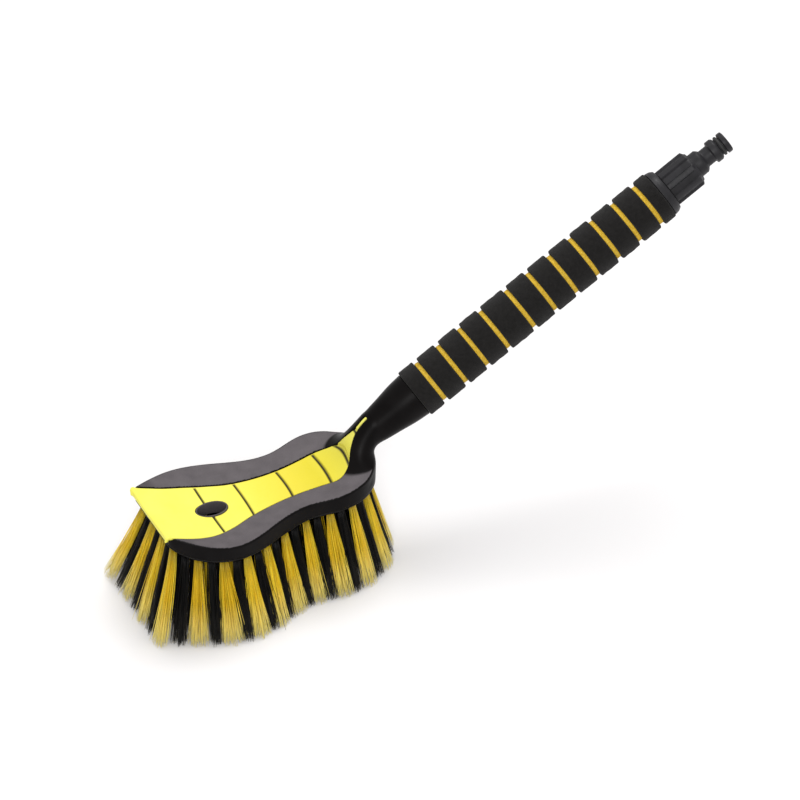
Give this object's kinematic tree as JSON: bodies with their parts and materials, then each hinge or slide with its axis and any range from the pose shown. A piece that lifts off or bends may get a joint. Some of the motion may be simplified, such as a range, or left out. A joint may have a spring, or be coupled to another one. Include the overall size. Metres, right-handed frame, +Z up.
{
  "type": "flow-through wash brush",
  "caption": "Flow-through wash brush: hourglass head with splayed two-colour bristles, soft top panel, foam-ringed straight handle and screw-on ribbed hose connector.",
  "frame": {"origin": "on the surface the bristle tips stand on, under the middle of the head", "axes": "+X from the front of the head to its rear and on under the handle, +Z up, Y across the head"},
  "size_m": [0.4277, 0.1333, 0.238],
  "materials": {
    "black_plastic": "moulded satin plastic, fine grain, grey sheen on the top strips",
    "yellow_rubber": "soft overmoulded rubber, matt lemon yellow",
    "seal_rubber": "black seal rubber",
    "grip_foam": "closed-cell foam, dead matt, fine open pores on the cut surface",
    "ring_foam": "closed-cell foam, matt amber yellow",
    "tube_plastic": "extruded plastic tube",
    "connector_plastic": "moulded plastic, slight sheen, charcoal",
    "yellow_bristle": "polymer filaments with frayed pale tips",
    "black_bristle": "polymer filaments with frayed tips"
  },
  "bodies": {
    "brush": {"head_shell": "black_plastic", "soft_panel": "yellow_rubber", "bristle_block": "black_plastic", "chamber_seal": "seal_rubber", "tube_seal": "seal_rubber", "handle_tube": "tube_plastic", "end_fitting": "connector_plastic", "grip_foam_01": "grip_foam", "grip_foam_02": "grip_foam", "grip_foam_03": "grip_foam", "grip_foam_04": "grip_foam", "grip_foam_05": "grip_foam", "grip_foam_06": "grip_foam", "grip_foam_07": "grip_foam", "grip_foam_08": "grip_foam", "grip_foam_09": "grip_foam", "grip_foam_10": "grip_foam", "grip_foam_11": "grip_foam", "grip_foam_12": "grip_foam", "grip_ring_01": "ring_foam", "grip_ring_02": "ring_foam", "grip_ring_03": "ring_foam", "grip_ring_04": "ring_foam", "grip_ring_05": "ring_foam", "grip_ring_06": "ring_foam", "grip_ring_07": "ring_foam", "grip_ring_08": "ring_foam", "grip_ring_09": "ring_foam", "grip_ring_10": "ring_foam", "grip_ring_11": "ring_foam", "bristles_outer_01": "yellow_bristle", "bristles_outer_02": "yellow_bristle", "bristles_outer_03": "yellow_bristle", "bristles_outer_04": "yellow_bristle", "bristles_outer_05": "yellow_bristle", "bristles_outer_06": "yellow_bristle", "bristles_outer_07": "yellow_bristle", "bristles_outer_08": "yellow_bristle", "bristles_outer_09": "yellow_bristle", "bristles_outer_10": "yellow_bristle", "bristles_outer_11": "yellow_bristle", "bristles_outer_12": "yellow_bristle", "bristles_inner_1": "black_bristle", "bristles_inner_2_left": "black_bristle", "bristles_inner_2_right": "black_bristle", "bristles_inner_3": "black_bristle", "bristles_inner_4": "black_bristle", "bristles_inner_5": "black_bristle", "bristles_inner_6": "black_bristle"},
    "washer": {"hose_washer": "seal_rubber"},
    "connector": {"quick_connector": "connector_plastic", "spigot_oring": "seal_rubber"}
  },
  "joints": [
    {"name": "connector_travel", "type": "slide", "parent": "brush", "child": "washer", "axis": [0.866, 0, 0.5], "range_m": [0, 0.0055]},
    {"name": "connector_turn", "type": "hinge", "parent": "washer", "child": "connector", "pos_m": [0.30919, 0, 0.219], "axis": [0.866, 0, 0.5], "range_deg": [0, 1080]}
  ],
  "couplings": [
    {"joint": "connector_travel", "follows": "connector_turn", "m_per_rad": 0.00028871}
  ]
}
